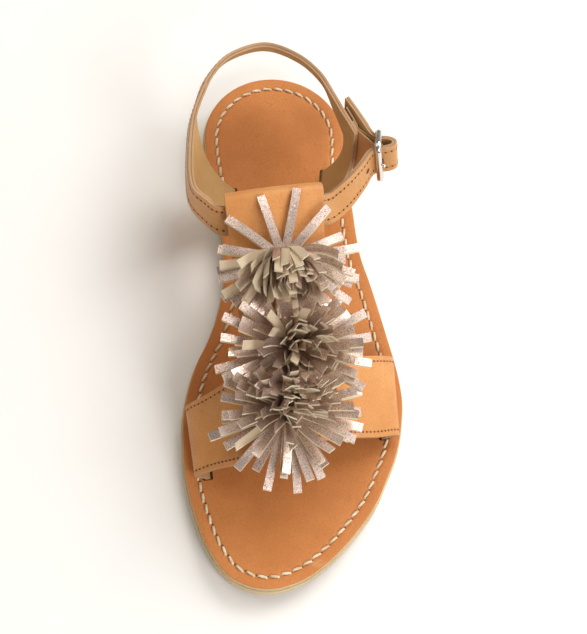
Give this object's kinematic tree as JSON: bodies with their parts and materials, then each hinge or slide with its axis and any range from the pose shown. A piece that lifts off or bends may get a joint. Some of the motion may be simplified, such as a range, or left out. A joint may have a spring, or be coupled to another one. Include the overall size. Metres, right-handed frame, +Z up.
{
  "type": "pom pom sandal",
  "caption": "Flat leather sandal for a left foot: toe band, T-strap with fringed leather pompoms, heel sling, and an ankle strap closed by a buckle.",
  "frame": {"origin": "on the floor under the middle of the heel", "axes": "-Y towards the toe, +X towards the outer side of the foot, +Z up from the floor"},
  "size_m": [0.0802, 0.2018, 0.0671],
  "materials": {
    "outsole": "natural raw edge, matt",
    "insole": "smooth tan, satin",
    "upper": "smooth natural tan, satin",
    "buckle": "polished",
    "pompom": "rose metallic foil over suede"
  },
  "bodies": {
    "root": {"outsole": "outsole", "insole": "insole", "front_upper": "upper", "back_upper": "upper", "buckle_frame": "buckle", "buckle_prong": "buckle", "pompom_ankle": "pompom", "pompom_middle": "pompom", "pompom_toe": "pompom"}
  },
  "joints": []
}
